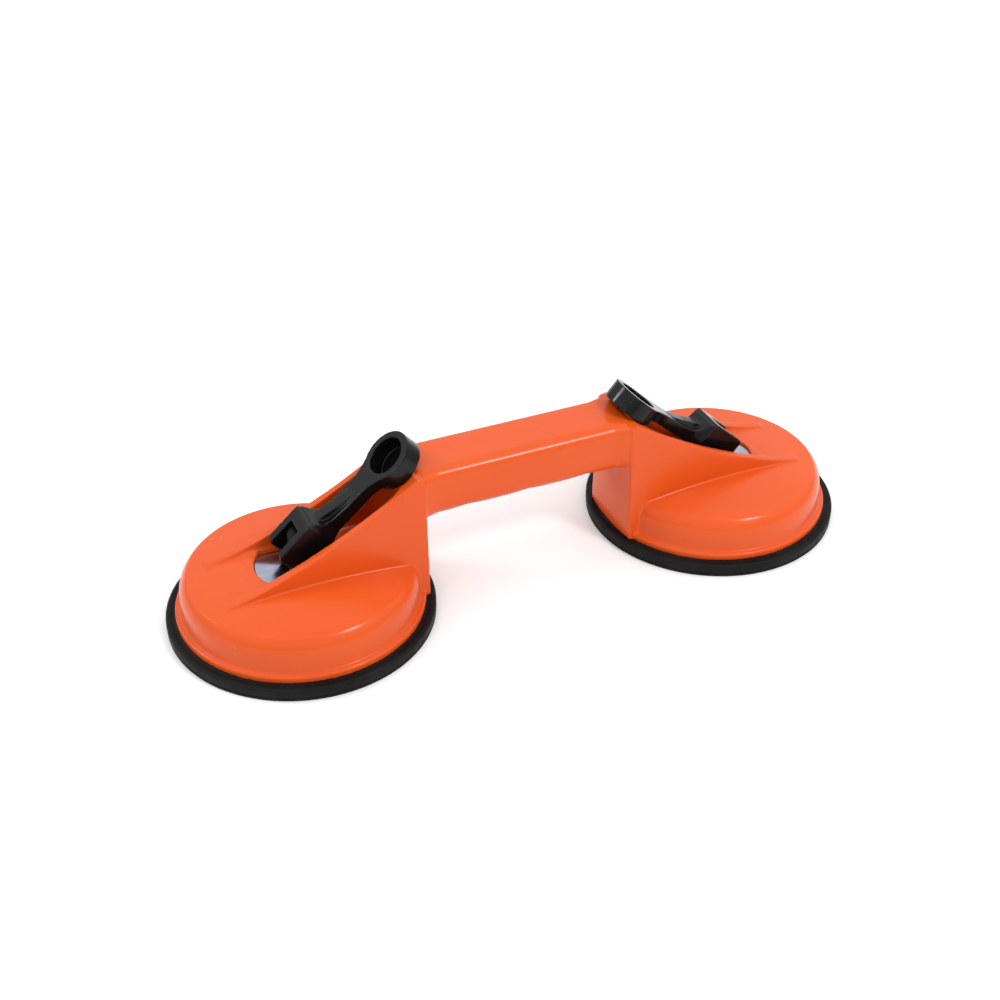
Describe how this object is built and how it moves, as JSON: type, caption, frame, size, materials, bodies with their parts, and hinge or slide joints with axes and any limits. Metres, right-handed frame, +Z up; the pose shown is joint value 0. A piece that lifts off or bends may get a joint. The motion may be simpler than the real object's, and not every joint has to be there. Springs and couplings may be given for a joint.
{
  "type": "vacuum suction cup",
  "caption": "Vacuum suction lifter: rubber cups under a moulded body with a grip; folding cam levers draw the pads up to hold smooth panels.",
  "frame": {"origin": "centre of the tool's footprint, on the surface that the rubber pads stand on", "axes": "+X along the grip towards the right cup, +Y away from the near side, +Z up from the held surface"},
  "size_m": [0.3236, 0.118, 0.079],
  "materials": {
    "body_abs": "semi-gloss injection-moulded orange ABS",
    "pad_rubber": "matte moulded rubber",
    "lever_plastic": "semi-gloss black moulded plastic",
    "cam_zinc": "bright blue-white zinc plate",
    "zinc_steel": "zinc-plated steel",
    "black_steel": "black-oxide steel",
    "pin_steel": "plain steel dowel",
    "bush_nylon": "natural nylon"
  },
  "bodies": {
    "housing": {"body_moulding": "body_abs", "rubber_pad_left": "pad_rubber", "rubber_pad_right": "pad_rubber", "guide_bush_left": "bush_nylon", "guide_bush_right": "bush_nylon", "cam_plate_left": "cam_zinc", "cam_plate_right": "cam_zinc"},
    "left_stud": {"backing_plate_left": "zinc_steel", "stud_left": "black_steel", "spring_washer_left": "zinc_steel", "lock_nut_left": "zinc_steel"},
    "left_lever": {"lever_left": "lever_plastic", "pivot_pin_left": "pin_steel"},
    "right_stud": {"backing_plate_right": "zinc_steel", "stud_right": "black_steel", "spring_washer_right": "zinc_steel", "lock_nut_right": "zinc_steel"},
    "right_lever": {"lever_right": "lever_plastic", "pivot_pin_right": "pin_steel"}
  },
  "joints": [
    {"name": "left_stud_slide", "type": "slide", "parent": "housing", "child": "left_stud", "axis": [0, 0, -1], "range_m": [0, 0.0032], "deforming": ["rubber_pad_left"]},
    {"name": "left_lever_hinge", "type": "hinge", "parent": "left_stud", "child": "left_lever", "pos_m": [-0.10275, 0, 0.0395], "axis": [0, -1, 0], "range_deg": [0, 105]},
    {"name": "right_stud_slide", "type": "slide", "parent": "housing", "child": "right_stud", "axis": [0, 0, -1], "range_m": [0, 0.0032], "deforming": ["rubber_pad_right"]},
    {"name": "right_lever_hinge", "type": "hinge", "parent": "right_stud", "child": "right_lever", "pos_m": [0.10275, 0, 0.0395], "axis": [0, 1, 0], "range_deg": [0, 105]}
  ],
  "couplings": [
    {"joint": "left_lever_hinge", "follows": "left_stud_slide", "rad_per_m": 572.68},
    {"joint": "right_lever_hinge", "follows": "right_stud_slide", "rad_per_m": 572.68}
  ]
}
